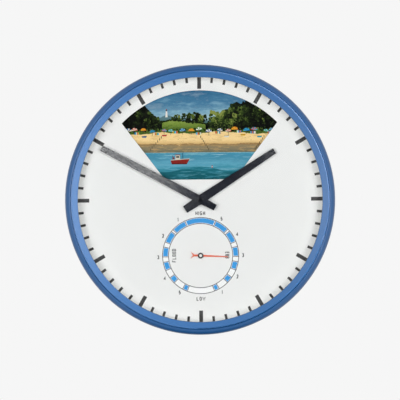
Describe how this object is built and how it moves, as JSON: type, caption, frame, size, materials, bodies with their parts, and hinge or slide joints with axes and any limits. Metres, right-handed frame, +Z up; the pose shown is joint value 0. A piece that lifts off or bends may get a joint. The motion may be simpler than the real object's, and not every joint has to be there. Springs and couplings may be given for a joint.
{
  "type": "wall tide clock",
  "caption": "Round wall clock with a deep painted metal case, time hands, a fan-shaped window with a rising and falling sea plate, and a small tide dial below the centre.",
  "frame": {"origin": "on the axis of the time hands, in the plane of the wall that the soft ring at the back rests on", "axes": "+Z up on the wall, +X to the right as seen from the front, +Y into the wall; the dial faces -Y"},
  "size_m": [0.36, 0.06, 0.36],
  "materials": {
    "case_paint": "satin",
    "bezel_paint": "satin",
    "clear_glass": "polished",
    "grey_gasket": "matt",
    "dial_white": "matt",
    "ring_white": "matt",
    "picture_print": "printed",
    "picture_card": "printed",
    "hand_black": "satin",
    "tide_orange": "satin",
    "boss_dark": "satin",
    "arbor_steel": "turned",
    "arbor_white": "smooth",
    "plate_zinc": "zinc plated",
    "brass": "turned",
    "gear_nylon": "moulded",
    "drive_resin": "moulded",
    "box_black": "moulded",
    "rotor_dark": "sintered",
    "coil_copper": "enamelled wire",
    "stator_iron": "stamped",
    "board_green": "solder resist",
    "cell_green": "sleeve",
    "contact_nickel": "nickel plated",
    "ring_foam": "matt"
  },
  "bodies": {
    "clock": {"back_cover": "plate_zinc", "background_plate": "picture_print", "battery_contacts": "contact_nickel", "bezel": "bezel_paint", "bezel_screws": "plate_zinc", "carrier_plate": "plate_zinc", "carrier_posts": "plate_zinc", "case_shell": "case_paint", "cover_screws": "plate_zinc", "crank_stud": "brass", "dial_plate": "dial_white", "foreground_strip": "picture_card", "glass": "clear_glass", "glass_gasket": "grey_gasket", "guide_rails": "gear_nylon", "hanger_plate": "plate_zinc", "hanger_rivets": "contact_nickel", "movement_nuts": "brass", "picture_posts": "plate_zinc", "post_screws": "plate_zinc", "ring_gear": "drive_resin", "ring_posts": "plate_zinc", "spacer_ring": "ring_white", "tide_battery": "cell_green", "tide_circuit_board": "board_green", "tide_coil": "coil_copper", "tide_movement_case": "box_black", "tide_movement_lid": "box_black", "tide_stator": "stator_iron", "time_battery": "cell_green", "time_circuit_board": "board_green", "time_coil": "coil_copper", "time_movement_case": "box_black", "time_movement_lid": "box_black", "time_stator": "stator_iron", "wall_ring": "ring_foam"},
    "minute": {"minute_hand": "hand_black", "hand_cap": "hand_black", "time_arbor": "arbor_steel", "time_arbor_wheel": "gear_nylon"},
    "hour": {"hour_hand": "hand_black", "hour_wheel": "gear_nylon"},
    "time_setting": {"time_setting_wheel": "gear_nylon"},
    "time_knob": {"time_setting_knob": "box_black"},
    "time_step": {"time_step_wheel": "gear_nylon"},
    "time_rotor": {"time_rotor": "rotor_dark"},
    "tide": {"tide_drive_wheel": "drive_resin", "tide_hand": "tide_orange", "tide_hand_boss": "boss_dark", "tide_arbor": "arbor_white", "tide_arbor_wheel": "gear_nylon"},
    "tide_setting": {"tide_setting_wheel": "gear_nylon"},
    "tide_knob": {"tide_setting_knob": "box_black"},
    "tide_step": {"tide_step_wheel": "gear_nylon"},
    "tide_rotor": {"tide_rotor": "rotor_dark"},
    "crank": {"crank_wheel": "drive_resin", "planet_screw": "brass"},
    "planet": {"planet_gear": "gear_nylon"},
    "sea": {"sea_plate": "picture_print"}
  },
  "joints": [
    {"name": "minute_turn", "type": "hinge", "parent": "clock", "child": "minute", "pos_m": [0, -0.02, 0], "axis": [0, 1, 0], "continuous": true},
    {"name": "hour_turn", "type": "hinge", "parent": "clock", "child": "hour", "pos_m": [0, -0.02, 0], "axis": [0, 1, 0], "continuous": true},
    {"name": "time_setting_turn", "type": "hinge", "parent": "clock", "child": "time_setting", "pos_m": [-0.012, -0.02, 0], "axis": [0, 1, 0], "continuous": true},
    {"name": "time_knob_turn", "type": "hinge", "parent": "clock", "child": "time_knob", "pos_m": [-0.01825, -0.02, 0.01083], "axis": [0, 1, 0], "continuous": true},
    {"name": "time_step_turn", "type": "hinge", "parent": "clock", "child": "time_step", "pos_m": [0.0063, -0.02, 0.01091], "axis": [0, 1, 0], "continuous": true},
    {"name": "time_rotor_turn", "type": "hinge", "parent": "clock", "child": "time_rotor", "pos_m": [0.0165, -0.02, 0.01091], "axis": [0, 1, 0], "continuous": true},
    {"name": "tide_turn", "type": "hinge", "parent": "clock", "child": "tide", "pos_m": [0, -0.02, -0.0746], "axis": [0, 1, 0], "continuous": true},
    {"name": "tide_setting_turn", "type": "hinge", "parent": "clock", "child": "tide_setting", "pos_m": [-0.012, -0.02, -0.0746], "axis": [0, 1, 0], "continuous": true},
    {"name": "tide_knob_turn", "type": "hinge", "parent": "clock", "child": "tide_knob", "pos_m": [-0.01825, -0.02, -0.06377], "axis": [0, 1, 0], "continuous": true},
    {"name": "tide_step_turn", "type": "hinge", "parent": "clock", "child": "tide_step", "pos_m": [0.0063, -0.02, -0.06369], "axis": [0, 1, 0], "continuous": true},
    {"name": "tide_rotor_turn", "type": "hinge", "parent": "clock", "child": "tide_rotor", "pos_m": [0.0165, -0.02, -0.06369], "axis": [0, 1, 0], "continuous": true},
    {"name": "crank_turn", "type": "hinge", "parent": "clock", "child": "crank", "pos_m": [0, -0.02, -0.0373], "axis": [0, 1, 0], "continuous": true},
    {"name": "planet_turn", "type": "hinge", "parent": "crank", "child": "planet", "pos_m": [-0.00899, -0.02, -0.03776], "axis": [0, 1, 0], "continuous": true},
    {"name": "sea_turn", "type": "hinge", "parent": "planet", "child": "sea", "pos_m": [0, -0.02, -0.03821], "axis": [0, 1, 0], "continuous": true}
  ],
  "couplings": [
    {"joint": "hour_turn", "follows": "minute_turn", "ratio": 0.083333},
    {"joint": "time_setting_turn", "follows": "minute_turn", "ratio": -0.33333},
    {"joint": "time_knob_turn", "follows": "minute_turn", "ratio": 0.85714},
    {"joint": "time_step_turn", "follows": "minute_turn", "ratio": -8},
    {"joint": "time_rotor_turn", "follows": "minute_turn", "ratio": 60},
    {"joint": "tide_setting_turn", "follows": "tide_turn", "ratio": -0.33333},
    {"joint": "tide_knob_turn", "follows": "tide_turn", "ratio": 0.85714},
    {"joint": "tide_step_turn", "follows": "tide_turn", "ratio": -8},
    {"joint": "tide_rotor_turn", "follows": "tide_turn", "ratio": 60},
    {"joint": "crank_turn", "follows": "tide_turn", "ratio": -1},
    {"joint": "planet_turn", "follows": "tide_turn", "ratio": 2},
    {"joint": "sea_turn", "follows": "tide_turn", "ratio": -1}
  ]
}
